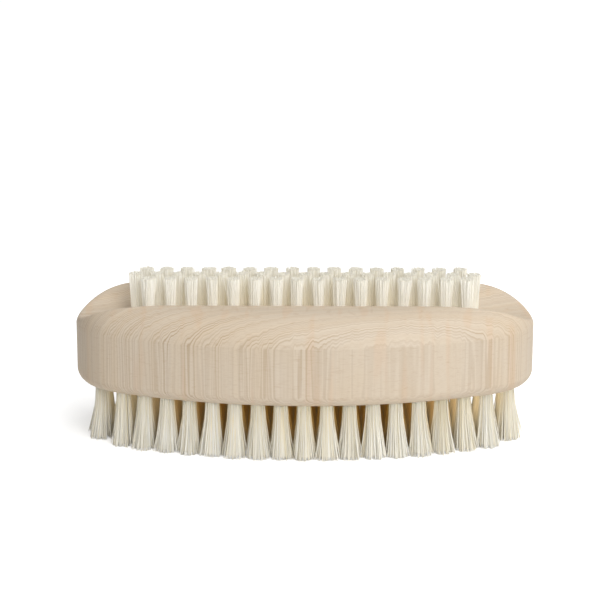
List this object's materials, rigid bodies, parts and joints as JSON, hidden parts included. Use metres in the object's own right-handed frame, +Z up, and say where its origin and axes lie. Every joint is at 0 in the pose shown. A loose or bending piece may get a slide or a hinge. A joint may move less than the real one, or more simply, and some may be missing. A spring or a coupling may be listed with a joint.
{
  "type": "nail brush",
  "caption": "Two-sided nail brush: an oval wooden block with a wide bed of long bristles below and a narrow strip of short bristles standing in the groove along its top.",
  "frame": {"origin": "middle of the brush's length and width, on the plane of the lower bristles' tips", "axes": "+X along the block, +Y across it away from the viewer of the picture, +Z up towards the short bristles"},
  "size_m": [0.095, 0.042, 0.0346],
  "materials": {
    "beech": "unvarnished",
    "bristle": "satin",
    "anchor_wire": "drawn"
  },
  "bodies": {
    "root": {"wooden_block": "beech", "lower_row_01": "bristle", "lower_row_02": "bristle", "lower_row_03": "bristle", "lower_row_04": "bristle", "lower_row_05": "bristle", "lower_row_06": "bristle", "lower_row_07": "bristle", "lower_row_08": "bristle", "lower_row_09": "bristle", "lower_row_10": "bristle", "lower_row_11": "bristle", "lower_row_12": "bristle", "lower_row_13": "bristle", "lower_row_14": "bristle", "lower_row_15": "bristle", "lower_row_16": "bristle", "lower_row_17": "bristle", "lower_row_18": "bristle", "lower_row_19": "bristle", "upper_row_front": "bristle", "upper_row_middle": "bristle", "upper_row_rear": "bristle", "lower_anchors": "anchor_wire", "upper_anchors": "anchor_wire"}
  },
  "joints": []
}
